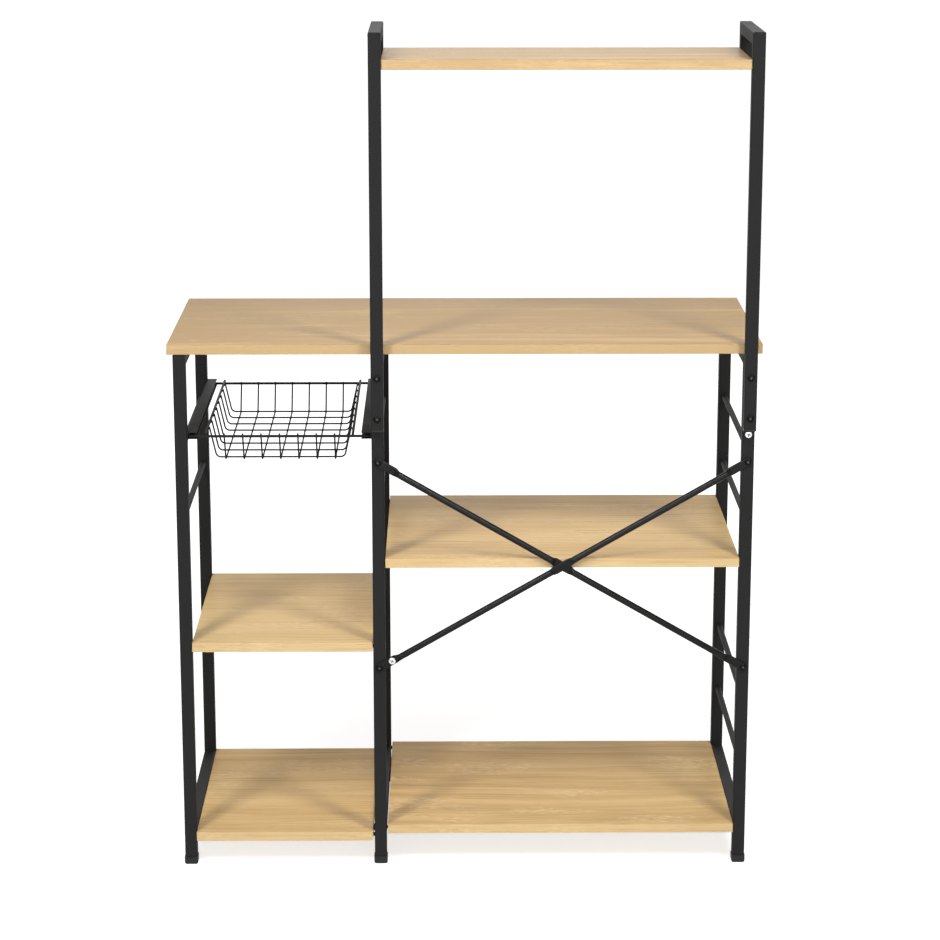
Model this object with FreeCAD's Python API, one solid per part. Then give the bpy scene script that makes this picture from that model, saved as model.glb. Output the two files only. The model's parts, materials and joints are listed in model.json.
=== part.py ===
import FreeCAD, Part
import collections
import math
import os

# Kitchen rack in square steel tube with oak-look boards, in millimetres, +Z up.
# The origin lies on the floor, under the middle of the rack's bounding box.
# The braced back faces -Y and stands against a wall. The user stands on the +Y side.
# Left and right are as seen from the braced back: left is -X and right is +X.

# Square tube, the same in every frame
tube = 19.0
tube_wall = 1.2
tube_corner = 2.0

# Overall sizes
worktop_width = 900.0
worktop_height = 836.0
overall_height = 1305.0

# Boards: chipboard with a laminate skin
board_thickness = 15.0
board_edge_round = 0.5
worktop_setback = 1.0
worktop_overhang = 9.0
board_end_gap = 1.0
right_bottom_end_gap = 1.8

# Three welded end frames: two bays between them, the left one for the basket
frame_depth = 381.0
basket_bay_width = 280.0

# Levels above the floor
left_bottom_board_top = 54.0
right_bottom_board_top = 66.0
left_bottom_rail_top = 57.0
right_bottom_rail_top = 66.0

# Drops below the top of the worktop
left_middle_board_drop = 470.0
right_middle_board_drop = 335.0

# Round rungs across the end frames, in pairs
rung_diameter = 9.2
rung_pair_step = 110.5
upper_rung_pair_drop = 274.0
lower_rung_pair_level = 167.0
rung_seat_gap = 0.1

# Upper frames: a tall post lapped on the back post, a top bar and a short drop leg
tall_post_lap = 131.0
upper_frame_depth = 191.0
drop_leg_length = 69.0
top_shelf_drop = 40.0
top_shelf_setback = 4.0

# Black plastic caps on the feet, and plugs in the open tube ends
cap_wall = 1.0
cap_height = 12.6
cap_floor = 4.0
cap_round = 3.6
plug_head = 2.4
plug_stem = 12.0
drop_leg_plug_round = 1.6
tall_post_plug_round = 0.3
plug_fit = 0.1

# Button-head bolts with a hexagon socket, and their nuts
bolt_diameter = 6.0
bolt_hole_clearance = 0.4
button_diameter = 11.4
button_height = 2.6
button_board_clearance = 0.1
socket_flats = 4.0
socket_depth = 1.5
nut_flats = 10.0
nut_height = 4.6
bolt_thread_overrun = 1.6
thread_fit = 0.1
dome_crown_share = 0.16
dome_rim_share = 0.25
upper_lap_bolt_drop = 48.0
lap_bolt_spacing = 63.0

# Countersunk bolts into threaded inserts in the ends of the boards
countersink_diameter = 11.0
countersink_height = 2.8
insert_diameter = 9.0
insert_length = 13.0
insert_fit = 0.1
board_bolt_reach = 12.0

# Wood screws that hold the worktop from below
wood_screw_diameter = 4.0
wood_screw_head = 8.0
wood_screw_head_height = 2.2
wood_screw_bite = 11.0
wood_screw_inset = 80.0

# Crossed brace of two round rods with pressed ends and pressed middles
brace_drop = 182.5
brace_height = 328.0
rod_diameter = 10.0
rod_setoff = 0.3
flat_width = 13.4
flat_thickness = 3.0
end_flat_length = 29.0
middle_flat_half = 12.8
press_length = 7.0
rivet_diameter = 5.0
rivet_head_diameter = 8.0
rivet_head_height = 1.2

# Zinc-plated pan-head screws, one beside the lower left end of the brace, one under the right tall post
zinc_head_diameter = 11.2
zinc_head_height = 2.4
zinc_beside_post = 20.0
zinc_under_tall_post = 3.4
zinc_under_post_reach = 12.0

# Channels that carry the basket, open towards it
channel_drop = 135.0
channel_height = 10.6
channel_width = 15.0
channel_sheet = 1.2

# Wire basket
basket_slide_clearance = 0.3
rim_wire_diameter = 4.0
rim_wire_end_gap = 2.0
rim_wire_inset = 4.0
side_wire_inset = 28.0
side_wire_overrun = 4.0
mesh_wire_diameter = 2.5
weld_gap = 0.1
mesh_tip_rise = 3.0
basket_drop = 40.2
cross_wire_count = 8
cross_wire_rim_inset = 32.5
cross_wire_lean = 14.0
length_wire_count = 7
length_wire_corner_inset = 14.0
length_wire_lean = 28.0
mesh_bend_radius = 8.0

# Overrun of every cutting body past the face that it cuts
cut_overrun = 1.0

# Places that follow from the sizes above
cap_reach = cap_wall + plug_fit
back_y = (tube + button_height - frame_depth - cap_reach) / 2
front_y = back_y + frame_depth - tube
left_x = worktop_overhang - worktop_width / 2
middle_x = left_x + tube + basket_bay_width
right_x = worktop_width / 2 - worktop_overhang - tube
frame_xs = {"left": left_x, "middle": middle_x, "right": right_x}
frame_top = worktop_height - board_thickness
left_middle_board_top = worktop_height - left_middle_board_drop
right_middle_board_top = worktop_height - right_middle_board_drop
upper_rung_pair_level = worktop_height - upper_rung_pair_drop
brace_top = worktop_height - brace_drop
brace_bottom = brace_top - brace_height
channel_top = worktop_height - channel_drop
tall_post_bottom = worktop_height - tall_post_lap
drop_leg_bottom = overall_height - drop_leg_length
top_shelf_top = overall_height - top_shelf_drop
upper_lap_bolt_z = worktop_height - upper_lap_bolt_drop
lower_lap_bolt_z = upper_lap_bolt_z - lap_bolt_spacing
bolt_hole_diameter = bolt_diameter + bolt_hole_clearance
bottom_rail_tops = {
    "left": left_bottom_rail_top,
    "middle": right_bottom_rail_top,
    "right": right_bottom_rail_top,
}

os.makedirs("parts", exist_ok=True)


def vec(x, y, z):
    return FreeCAD.Vector(x, y, z)


x_axis = vec(1, 0, 0)
y_axis = vec(0, 1, 0)
z_axis = vec(0, 0, 1)


def along(direction, length):
    """The step of the given length in a direction; a negative length steps back."""
    return vec(direction.x * length, direction.y * length, direction.z * length)


def box(x0, x1, y0, y1, z0, z1):
    return Part.makeBox(x1 - x0, y1 - y0, z1 - z0, vec(x0, y0, z0))


def rod(diameter, start, end):
    """A round bar from one point to another."""
    run = end.sub(start)
    return Part.makeCylinder(diameter / 2, run.Length, start, run)


def save(name, *solids):
    shape = solids[0] if len(solids) == 1 else Part.makeCompound(list(solids))
    shape.exportStep("parts/" + name + ".step")
    print(name, "solids", len(shape.Solids), "valid", shape.isValid(), "volume", round(shape.Volume))


def rounded_bar(size, corner, origin, axis_name, length):
    """A square bar with rounded long edges; origin is its lowest corner."""
    direction = {"x": x_axis, "y": y_axis, "z": z_axis}[axis_name]
    spans = {name: (length if name == axis_name else size) for name in "xyz"}
    bar = Part.makeBox(spans["x"], spans["y"], spans["z"], origin)
    edges = [e for e in bar.Edges if abs(e.tangentAt(e.FirstParameter).dot(direction)) > 0.5]
    return bar.makeFillet(corner, edges)


def square_tube(origin, axis_name, length):
    """A length of the frame tube, open at both ends."""
    outer = rounded_bar(tube, tube_corner, origin, axis_name, length)
    shift = {name: (-cut_overrun if name == axis_name else tube_wall) for name in "xyz"}
    inner_origin = origin.add(vec(shift["x"], shift["y"], shift["z"]))
    bore = rounded_bar(
        tube - 2 * tube_wall, tube_corner - tube_wall, inner_origin, axis_name, length + 2 * cut_overrun
    )
    return outer.cut(bore)


def wedge(x, points):
    """A prism across a tube, for the mitres: its section lies in Y and Z."""
    corners = [vec(x - cut_overrun, y, z) for y, z in points]
    face = Part.Face(Part.makePolygon(corners + corners[:1]))
    return face.extrude(along(x_axis, tube + 2 * cut_overrun))


def mitred_post(x, y, bottom, top, towards):
    """An upright tube, its top cut at 45 degrees for a bar that runs towards +Y (1) or -Y (-1)."""
    post = square_tube(vec(x, y, bottom), "z", top - bottom)
    outer = y if towards > 0 else y + tube
    run = tube * towards
    above = [(outer - run, top + tube), (outer + 2 * run, top - 2 * tube), (outer + 2 * run, top + tube)]
    return post.cut(wedge(x, above))


def mitred_bar(x, y0, y1, top):
    """A level tube along Y, mitred at both ends onto its posts."""
    bar = square_tube(vec(x, y0, top - tube), "y", y1 - y0)
    for outer, run in ((y0, tube), (y1, -tube)):
        below = [(outer - run, top + tube), (outer + 2 * run, top - 2 * tube), (outer - run, top - 2 * tube)]
        bar = bar.cut(wedge(x, below))
    return bar


def turned(origin, direction):
    """The placement that moves a piece from the origin and turns its +Z to a direction."""
    return FreeCAD.Placement(origin, FreeCAD.Rotation(z_axis, direction))


def hexagon(flats, origin, direction, length):
    """A hexagonal bar, for nuts and for the sockets in bolt heads."""
    sides = 6
    radius = flats / 2 / math.cos(math.pi / sides)
    turns = [2 * math.pi * i / sides for i in range(sides + 1)]
    points = [vec(radius * math.cos(a), radius * math.sin(a), 0) for a in turns]
    bar = Part.Face(Part.makePolygon(points)).extrude(vec(0, 0, length))
    bar.Placement = turned(origin, direction)
    return bar


def domed_head(diameter, height):
    """A low dome with a flat crown, standing on the plane z = 0."""
    radius = diameter / 2
    apex = height * (1 + dome_crown_share)
    rim = height * dome_rim_share
    rise = apex - rim
    sphere_radius = (radius * radius + rise * rise) / (2 * rise)
    sphere = Part.makeSphere(sphere_radius, vec(0, 0, apex - sphere_radius))
    return sphere.common(Part.makeCylinder(radius, height))


def bolt(seat, direction, length, head_diameter, head_height):
    """A domed bolt with its head standing on seat and its shank running along a direction."""
    head = domed_head(head_diameter, head_height)
    socket = hexagon(socket_flats, vec(0, 0, head_height - socket_depth), z_axis, socket_depth + cut_overrun)
    shank = Part.makeCylinder(bolt_diameter / 2, length, vec(0, 0, -length))
    body = head.cut(socket).fuse(shank).removeSplitter()
    body.Placement = turned(seat, along(direction, -1))
    return body


def countersunk_bolt(seat, direction, length):
    """A flat-headed bolt whose head lies flush with the face at seat."""
    point = seat.add(along(direction, countersink_height))
    end = seat.add(along(direction, length))
    head = Part.makeCone(countersink_diameter / 2, bolt_diameter / 2, countersink_height, seat, direction)
    body = head.fuse(rod(bolt_diameter, point, end)).removeSplitter()
    return body.cut(hexagon(socket_flats, seat, direction, socket_depth))


def countersink_hole(seat, direction, depth):
    """The hole for such a bolt: a cone at the face and a clear bore behind it."""
    wide = (countersink_diameter + bolt_hole_clearance) / 2
    cone = Part.makeCone(wide, bolt_hole_diameter / 2, countersink_height, seat, direction)
    return cone.fuse(rod(bolt_hole_diameter, seat, seat.add(along(direction, depth))))


def nut(seat, direction):
    """A hexagon nut standing on seat, bored for the bolt."""
    bore = rod(bolt_diameter + 2 * thread_fit, seat, seat.add(along(direction, nut_height)))
    return hexagon(nut_flats, seat, direction, nut_height).cut(bore)


# Places of the uprights and of their bolts, which all run through the middle of a tube
back_bolt_y = back_y + tube / 2
front_bolt_y = front_y + tube / 2
tall_post_y = back_y - tube
drop_leg_y = tall_post_y + upper_frame_depth - tube
tall_bolt_y = tall_post_y + tube / 2
leg_bolt_y = drop_leg_y + tube / 2
middle_axis_x = middle_x + tube / 2
right_axis_x = right_x + tube / 2
zinc_post_z = tall_post_bottom - zinc_under_tall_post - zinc_head_diameter / 2

# One bolt that holds a board: side is +1 where the board lies on the +X side of the frame,
# gap is what lies between the frame and the board's end, and a flush bolt is countersunk
BoardBolt = collections.namedtuple("BoardBolt", "board frame side y top gap flush")


def bolts_of(board, frames, ys, top, middle_gap, button_frame=None):
    """The four bolts of one board: two through the frame at each end."""
    bolts = []
    for frame, side in zip(frames, (1, -1)):
        gap = middle_gap if frame == "middle" else 0
        bolts += [BoardBolt(board, frame, side, y, top, gap, frame != button_frame) for y in ys]
    return bolts


left_bay = ("left", "middle")
right_bay = ("middle", "right")
bay_ys = (back_bolt_y, front_bolt_y)
shelf_ys = (tall_bolt_y, leg_bolt_y)
gap_past_buttons = button_height + button_board_clearance
board_bolts = (
    bolts_of("left_middle_board", left_bay, bay_ys, left_middle_board_top, board_end_gap)
    + bolts_of("left_bottom_board", left_bay, bay_ys, left_bottom_board_top, gap_past_buttons)
    + bolts_of("right_middle_board", right_bay, bay_ys, right_middle_board_top, board_end_gap)
    + bolts_of("right_bottom_board", right_bay, bay_ys, right_bottom_board_top, right_bottom_end_gap,
               "middle")
    + bolts_of("top_shelf", right_bay, shelf_ys, top_shelf_top, 0)
)


def bolt_seat(b):
    """Where the bolt's head sits: the face of the frame away from the board."""
    x = frame_xs[b.frame] if b.side > 0 else frame_xs[b.frame] + tube
    return vec(x, b.y, b.top - board_thickness / 2)


def board_end(b):
    """Where the bolt enters the board."""
    return bolt_seat(b).add(along(x_axis, b.side * (tube + b.gap)))


def straight_hole(diameter, start, direction, depth):
    """A round hole from a face inwards, with the cutting body overrunning the face."""
    return rod(diameter, start.sub(along(direction, cut_overrun)), start.add(along(direction, depth)))


def bolt_hole(b):
    direction = along(x_axis, b.side)
    if b.flush:
        return countersink_hole(bolt_seat(b), direction, tube + cut_overrun)
    return straight_hole(bolt_hole_diameter, bolt_seat(b), direction, tube + cut_overrun)


def upright_holes(frame, y):
    """The holes for boards through the upright whose axis stands at y in a frame."""
    return [bolt_hole(b) for b in board_bolts if b.frame == frame and b.y == y]


def through_back(x, z):
    """A clear hole along Y through a back post and the tall post lapped on it."""
    return straight_hole(bolt_hole_diameter, vec(x, tall_post_y, z), y_axis, 2 * tube + cut_overrun)


def cut_all(solid, tools):
    return solid.cut(Part.makeCompound(tools)) if tools else solid


# Lower end frames: posts, mitred top rails and bottom rails
def back_post(frame):
    post = mitred_post(frame_xs[frame], back_y, cap_floor, frame_top, 1)
    tools = upright_holes(frame, back_bolt_y)
    axis_x = frame_xs[frame] + tube / 2
    if frame != "left":
        levels = (upper_lap_bolt_z, lower_lap_bolt_z, brace_top, brace_bottom)
        tools += [through_back(axis_x, z) for z in levels]
    if frame == "right":
        tools.append(through_back(axis_x, zinc_post_z))
    return cut_all(post, tools)


def front_post(frame):
    post = mitred_post(frame_xs[frame], front_y, cap_floor, frame_top, -1)
    return cut_all(post, upright_holes(frame, front_bolt_y))


screw_ys = (back_y + wood_screw_inset, back_y + frame_depth - wood_screw_inset)
screw_places = {frame: [(frame_xs[frame] + tube / 2, y) for y in screw_ys] for frame in frame_xs}


def top_rail(frame):
    rail = mitred_bar(frame_xs[frame], back_y, back_y + frame_depth, frame_top)
    hole = wood_screw_diameter + bolt_hole_clearance
    seats = [vec(x, y, frame_top - tube) for x, y in screw_places[frame]]
    return cut_all(rail, [straight_hole(hole, seat, z_axis, tube + cut_overrun) for seat in seats])


def bottom_rail(frame):
    top = bottom_rail_tops[frame]
    return square_tube(vec(frame_xs[frame], back_y + tube, top - tube), "y", frame_depth - 2 * tube)


for frame_name in frame_xs:
    save(frame_name + "_back_post", back_post(frame_name))
    save(frame_name + "_front_post", front_post(frame_name))
    save(frame_name + "_top_rail", top_rail(frame_name))
    save(frame_name + "_bottom_rail", bottom_rail(frame_name))


# Rungs: the left and middle frames have the upper pair, the right frame has both
def rung(frame, z):
    x = frame_xs[frame] + tube / 2
    start = vec(x, back_y + tube + rung_seat_gap, z)
    end = vec(x, front_y - rung_seat_gap, z)
    return rod(rung_diameter, start, end)


def rung_pair(frame, level):
    return [rung(frame, level), rung(frame, level + rung_pair_step)]


save("left_rungs", *rung_pair("left", upper_rung_pair_level))
save("middle_rungs", *rung_pair("middle", upper_rung_pair_level))
save("right_upper_rungs", *rung_pair("right", upper_rung_pair_level))
save("right_lower_rungs", *rung_pair("right", lower_rung_pair_level))


# Upper frames that carry the top shelf
def tall_post(frame):
    post = mitred_post(frame_xs[frame], tall_post_y, tall_post_bottom + plug_head, overall_height, 1)
    laps = [through_back(frame_xs[frame] + tube / 2, z) for z in (upper_lap_bolt_z, lower_lap_bolt_z)]
    return cut_all(post, laps + upright_holes(frame, tall_bolt_y))


def drop_leg(frame):
    leg = mitred_post(frame_xs[frame], drop_leg_y, drop_leg_bottom + plug_head, overall_height, -1)
    return cut_all(leg, upright_holes(frame, leg_bolt_y))


def tube_plug(frame, y, bottom, round_radius):
    """A plastic plug: a head as wide as the tube, under its end, and a stem inside it."""
    x = frame_xs[frame]
    inset = tube_wall + plug_fit
    head = rounded_bar(tube, tube_corner, vec(x, y, bottom), "z", plug_head)
    lowest = [e for e in head.Edges if e.BoundBox.ZMax < bottom + plug_head / 2]
    head = head.makeFillet(round_radius, lowest)
    stem_origin = vec(x + inset, y + inset, bottom + plug_head)
    stem = rounded_bar(tube - 2 * inset, tube_corner - tube_wall, stem_origin, "z", plug_stem)
    return head.fuse(stem)


for frame_name in right_bay:
    bar_end = drop_leg_y + tube
    save(frame_name + "_tall_post", tall_post(frame_name))
    save(frame_name + "_top_bar", mitred_bar(frame_xs[frame_name], tall_post_y, bar_end, overall_height))
    save(frame_name + "_drop_leg", drop_leg(frame_name))
    post_plug = tube_plug(frame_name, tall_post_y, tall_post_bottom, tall_post_plug_round)
    leg_plug = tube_plug(frame_name, drop_leg_y, drop_leg_bottom, drop_leg_plug_round)
    save(frame_name + "_tall_post_plug", post_plug)
    save(frame_name + "_drop_leg_plug", leg_plug)


# Foot caps: cups that close the lower ends of the posts
def foot_cap(frame, y):
    x0 = frame_xs[frame] - cap_reach
    y0 = y - cap_reach
    width = tube + 2 * cap_reach
    outer = rounded_bar(width, tube_corner + cap_reach, vec(x0, y0, 0), "z", cap_height)
    lowest = [e for e in outer.Edges if e.BoundBox.ZMax < cap_floor / 2]
    outer = outer.makeFillet(cap_round, lowest)
    pocket_origin = vec(x0 + cap_wall, y0 + cap_wall, cap_floor)
    pocket = rounded_bar(tube + 2 * plug_fit, tube_corner + plug_fit, pocket_origin, "z", cap_height)
    return outer.cut(pocket)


for frame_name in frame_xs:
    save(frame_name + "_back_foot_cap", foot_cap(frame_name, back_y))
    save(frame_name + "_front_foot_cap", foot_cap(frame_name, front_y))


# Boards, with blind holes in their ends for the inserts
def slab(x0, x1, y0, y1, top, holes):
    body = box(x0, x1, y0, y1, top - board_thickness, top)
    return cut_all(body.makeFillet(board_edge_round, body.Edges), holes)


def insert_hole(b):
    hole = insert_diameter + 2 * insert_fit
    return straight_hole(hole, board_end(b), along(x_axis, b.side), insert_length + insert_fit)


def bolted_board(name, y0, y1):
    """A board whose ends and holes follow from its bolts."""
    bolts = [b for b in board_bolts if b.board == name]
    ends = [board_end(b).x for b in bolts]
    return slab(min(ends), max(ends), y0, y1, bolts[0].top, [insert_hole(b) for b in bolts])


frame_front = back_y + frame_depth
for board_name in ("left_middle_board", "left_bottom_board", "right_middle_board", "right_bottom_board"):
    save(board_name, bolted_board(board_name, back_y, frame_front))
save("top_shelf", bolted_board("top_shelf", tall_post_y + top_shelf_setback, drop_leg_y + tube))


def worktop():
    """The worktop ends flush with the front posts and just short of the tall posts."""
    pilot = wood_screw_diameter + 2 * insert_fit
    seats = [vec(x, y, frame_top) for frame in frame_xs for x, y in screw_places[frame]]
    holes = [straight_hole(pilot, seat, z_axis, wood_screw_bite + insert_fit) for seat in seats]
    half = worktop_width / 2
    return slab(-half, half, back_y + worktop_setback, frame_front, worktop_height, holes)


save("worktop", worktop())


# Fasteners of the boards
def threaded_insert(b):
    end = board_end(b).add(along(x_axis, b.side * insert_length))
    bore = rod(bolt_diameter + 2 * thread_fit, board_end(b), end)
    return rod(insert_diameter, board_end(b), end).cut(bore)


def board_bolt(b):
    length = tube + b.gap + board_bolt_reach
    direction = along(x_axis, b.side)
    if b.flush:
        return countersunk_bolt(bolt_seat(b), direction, length)
    return bolt(bolt_seat(b), direction, length, button_diameter, button_height)


def worktop_screw(x, y):
    """A domed wood screw from under a top rail into the worktop."""
    seat = vec(x, y, frame_top - tube)
    head = domed_head(wood_screw_head, wood_screw_head_height)
    head.Placement = turned(seat, along(z_axis, -1))
    return head.fuse(rod(wood_screw_diameter, seat, seat.add(along(z_axis, tube + wood_screw_bite))))


save("board_bolts", *[board_bolt(b) for b in board_bolts if b.flush])
save("button_board_bolts", *[board_bolt(b) for b in board_bolts if not b.flush])
save("board_inserts", *[threaded_insert(b) for b in board_bolts])
save("worktop_screws", *[worktop_screw(x, y) for frame in frame_xs for x, y in screw_places[frame]])

# Bolts through the back posts: two laps on each tall post, and the ends of the brace
front_of_back_post = back_y + tube
flat_back_y = back_y - flat_thickness
nut_reach = nut_height + bolt_thread_overrun
lap_places = [(x, z) for x in (middle_axis_x, right_axis_x) for z in (upper_lap_bolt_z, lower_lap_bolt_z)]
brace_places = [(x, z) for x in (middle_axis_x, right_axis_x) for z in (brace_top, brace_bottom)]


def back_bolt(x, seat_y, z):
    length = front_of_back_post + nut_reach - seat_y
    return bolt(vec(x, seat_y, z), y_axis, length, button_diameter, button_height)


save("lap_bolts", *[back_bolt(x, tall_post_y, z) for x, z in lap_places])
save("brace_bolts", *[back_bolt(x, flat_back_y, z) for x, z in brace_places])
save("post_nuts", *[nut(vec(x, front_of_back_post, z), y_axis) for x, z in lap_places + brace_places])


# Brace: its rods run between the bolt axes, on the back faces of the posts
span_x = right_axis_x - middle_axis_x
span_z = brace_top - brace_bottom
brace_length = math.hypot(span_x, span_z)
brace_slope = math.atan2(span_z, span_x)
zinc_along_rod = zinc_beside_post / math.cos(brace_slope)
rod_axis_y = back_y - rod_setoff - rod_diameter / 2
inner_flat_y = back_y - rivet_head_height - rod_setoff - flat_thickness / 2


def circle_section(x):
    """The round section, in four arcs that meet the sides of the pressed section."""
    radius = rod_diameter / 2
    quarter = math.pi / 4

    def point(angle):
        return vec(x, radius * math.cos(angle), radius * math.sin(angle))

    arcs = []
    for i in range(4):
        start = -quarter + 2 * quarter * i
        arcs.append(Part.Arc(point(start), point(start + quarter), point(start + 2 * quarter)).toShape())
    return Part.Wire(arcs)


def flat_section(x, offset):
    """The pressed section: flat faces square to Y, with round sides."""
    half = flat_thickness / 2
    reach = flat_width / 2
    straight = reach - half
    corners = [(half, -straight), (half, straight), (-half, straight), (-half, -straight)]
    a, b, c, d = [vec(x, y + offset, z) for y, z in corners]
    edges = [
        Part.makeLine(a, b),
        Part.Arc(b, vec(x, offset, reach), c).toShape(),
        Part.makeLine(c, d),
        Part.Arc(d, vec(x, offset, -reach), a).toShape(),
    ]
    return Part.Wire(edges)


def pressed_slab(start, end, offset):
    return Part.Face(flat_section(start, offset)).extrude(vec(end - start, 0, 0))


def brace_rod(middle_flat_y, second_hole):
    """One rod along +X from its first bolt at the origin, with y measured from the rod's axis."""
    end_offset = back_y - flat_thickness / 2 - rod_axis_y
    middle_offset = middle_flat_y - rod_axis_y
    half = brace_length / 2
    tip = flat_width / 2
    round_start = end_flat_length + press_length
    round_end = half - middle_flat_half - press_length
    pieces = [pressed_slab(half - middle_flat_half, half + middle_flat_half, middle_offset)]
    for mirror in (False, True):
        slab = pressed_slab(-tip, end_flat_length, end_offset)
        ring = Part.makeCylinder(tip, rod_diameter, vec(0, -rod_diameter / 2, 0), y_axis)
        keep = ring.fuse(box(0, end_flat_length, -rod_diameter, rod_diameter, -flat_width, flat_width))
        outer_ends = [flat_section(end_flat_length, end_offset), circle_section(round_start)]
        outer_press = Part.makeLoft(outer_ends, True)
        straight = Part.Face(circle_section(round_start)).extrude(vec(round_end - round_start, 0, 0))
        inner_ends = [circle_section(round_end), flat_section(half - middle_flat_half, middle_offset)]
        inner_press = Part.makeLoft(inner_ends, True)
        for piece in (slab.common(keep), outer_press, straight, inner_press):
            pieces.append(piece.mirror(vec(half, 0, 0), x_axis) if mirror else piece)
    body = pieces[0].multiFuse(pieces[1:])
    rivet_hole_diameter = rivet_diameter + 2 * thread_fit
    places = [(0, bolt_hole_diameter), (brace_length, bolt_hole_diameter), (half, rivet_hole_diameter)]
    if second_hole:
        places.append((zinc_along_rod, bolt_hole_diameter))
    for x, diameter in places:
        body = body.cut(rod(diameter, vec(x, -rod_diameter, 0), vec(x, rod_diameter, 0)))
    return body


def placed_rod(body, x, z, slope):
    body.Placement = FreeCAD.Placement(vec(x, rod_axis_y, z), FreeCAD.Rotation(y_axis, math.degrees(-slope)))
    return body


outer_flat_y = inner_flat_y - flat_thickness
rising = placed_rod(brace_rod(outer_flat_y, True), middle_axis_x, brace_bottom, brace_slope)
falling = placed_rod(brace_rod(inner_flat_y, False), middle_axis_x, brace_top, -brace_slope)
save("rising_brace_rod", rising)
save("falling_brace_rod", falling)


def brace_rivet():
    """A rivet through both pressed middles, with a low dome at each side."""
    x = (middle_axis_x + right_axis_x) / 2
    z = (brace_top + brace_bottom) / 2
    rear = inner_flat_y + flat_thickness / 2
    outer = outer_flat_y - flat_thickness / 2
    body = rod(rivet_diameter, vec(x, outer, z), vec(x, rear, z))
    for seat_y, side in ((outer, -1), (rear, 1)):
        head = domed_head(rivet_head_diameter, rivet_head_height)
        head.Placement = turned(vec(x, seat_y, z), along(y_axis, side))
        body = body.fuse(head)
    return body


save("brace_rivet", brace_rivet())

# Zinc-plated screws and the nut behind the one beside the middle post
zinc_x = middle_axis_x + zinc_beside_post
zinc_z = brace_bottom + zinc_beside_post * math.tan(brace_slope)
beside = bolt(
    vec(zinc_x, flat_back_y, zinc_z), y_axis, flat_thickness + nut_reach,
    zinc_head_diameter, zinc_head_height,
)
under = bolt(
    vec(right_axis_x, back_y, zinc_post_z), y_axis, zinc_under_post_reach,
    zinc_head_diameter, zinc_head_height,
)
save("zinc_screws", beside, under)
save("zinc_nut", nut(vec(zinc_x, back_y, zinc_z), y_axis))


# Channels welded to the inner sides of the posts, open towards the basket
def channel(web_x, towards):
    """web_x is the post's inner face; towards is the side of the basket."""
    low = channel_top - channel_height
    ends = (back_y, back_y + frame_depth)
    tip = web_x + towards * channel_width
    inner = web_x + towards * channel_sheet
    outer_xs = sorted((web_x, tip))
    groove_xs = sorted((inner, tip + towards * cut_overrun))
    body = box(*outer_xs, *ends, low, channel_top)
    groove = box(
        *groove_xs, ends[0] - cut_overrun, ends[1] + cut_overrun,
        low + channel_sheet, channel_top - channel_sheet,
    )
    return body.cut(groove)


save("left_basket_channel", channel(left_x + tube, 1))
save("right_basket_channel", channel(middle_x, -1))

# Basket: two rim wires run in the channels, and everything else hangs from them
basket_x = (left_x + tube + middle_x) / 2
rim_half = basket_bay_width / 2 - channel_sheet - rim_wire_end_gap
channel_floor = channel_top - channel_height + channel_sheet
rim_z = channel_floor + basket_slide_clearance + rim_wire_diameter / 2
rim_ys = (back_y + rim_wire_inset, back_y + frame_depth - rim_wire_inset)
basket_y = sum(rim_ys) / 2
side_z = rim_z + rim_wire_diameter + weld_gap
cross_bottom_z = rim_z - basket_drop
length_bottom_z = cross_bottom_z - mesh_wire_diameter - weld_gap
mesh_beside_rim = (rim_wire_diameter + mesh_wire_diameter) / 2 + weld_gap
side_wire_half_spacing = basket_bay_width / 2 - side_wire_inset
cross_wire_half_bottom = side_wire_half_spacing - cross_wire_lean


def end_wire(y):
    return rod(rim_wire_diameter, vec(basket_x - rim_half, y, rim_z), vec(basket_x + rim_half, y, rim_z))


def side_wire(x):
    start = vec(x, rim_ys[0] - side_wire_overrun / 2, side_z)
    end = vec(x, rim_ys[1] + side_wire_overrun / 2, side_z)
    return rod(rim_wire_diameter, start, end)


side_xs = [basket_x - side_wire_half_spacing, basket_x + side_wire_half_spacing]
save("basket_back_rim_wire", end_wire(rim_ys[0]))
save("basket_front_rim_wire", end_wire(rim_ys[1]))
save("basket_side_wires", *[side_wire(x) for x in side_xs])


def bent_wire(points):
    """A round wire along four points, with an arc at each of the two inner ones."""
    first, corner_a, corner_b, last = points

    def bend(before, corner, after):
        to_before = before.sub(corner).normalize()
        to_after = after.sub(corner).normalize()
        half_angle = math.acos(max(-1, min(1, to_before.dot(to_after)))) / 2
        setback = mesh_bend_radius / math.tan(half_angle)
        inward = to_before.add(to_after).normalize()
        centre = corner.add(along(inward, mesh_bend_radius / math.sin(half_angle)))
        start = corner.add(along(to_before, setback))
        end = corner.add(along(to_after, setback))
        middle = centre.sub(along(inward, mesh_bend_radius))
        return start, middle, end

    a0, a1, a2 = bend(first, corner_a, corner_b)
    b0, b1, b2 = bend(corner_a, corner_b, last)
    path = Part.Wire([
        Part.makeLine(first, a0),
        Part.Arc(a0, a1, a2).toShape(),
        Part.makeLine(a2, b0),
        Part.Arc(b0, b1, b2).toShape(),
        Part.makeLine(b2, last),
    ])
    section = Part.Wire(Part.makeCircle(mesh_wire_diameter / 2, first, a0.sub(first)))
    return path.makePipeShell([section], True, True)


def cross_wire(y):
    """A wire across the basket, from one side wire down, across and up to the other."""
    top = side_z + mesh_tip_rise
    reach_top = side_wire_half_spacing - mesh_beside_rim
    reach_low = cross_wire_half_bottom
    shapes = [(-reach_top, top), (-reach_low, cross_bottom_z), (reach_low, cross_bottom_z), (reach_top, top)]
    return bent_wire([vec(basket_x + x, y, z) for x, z in shapes])


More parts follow.
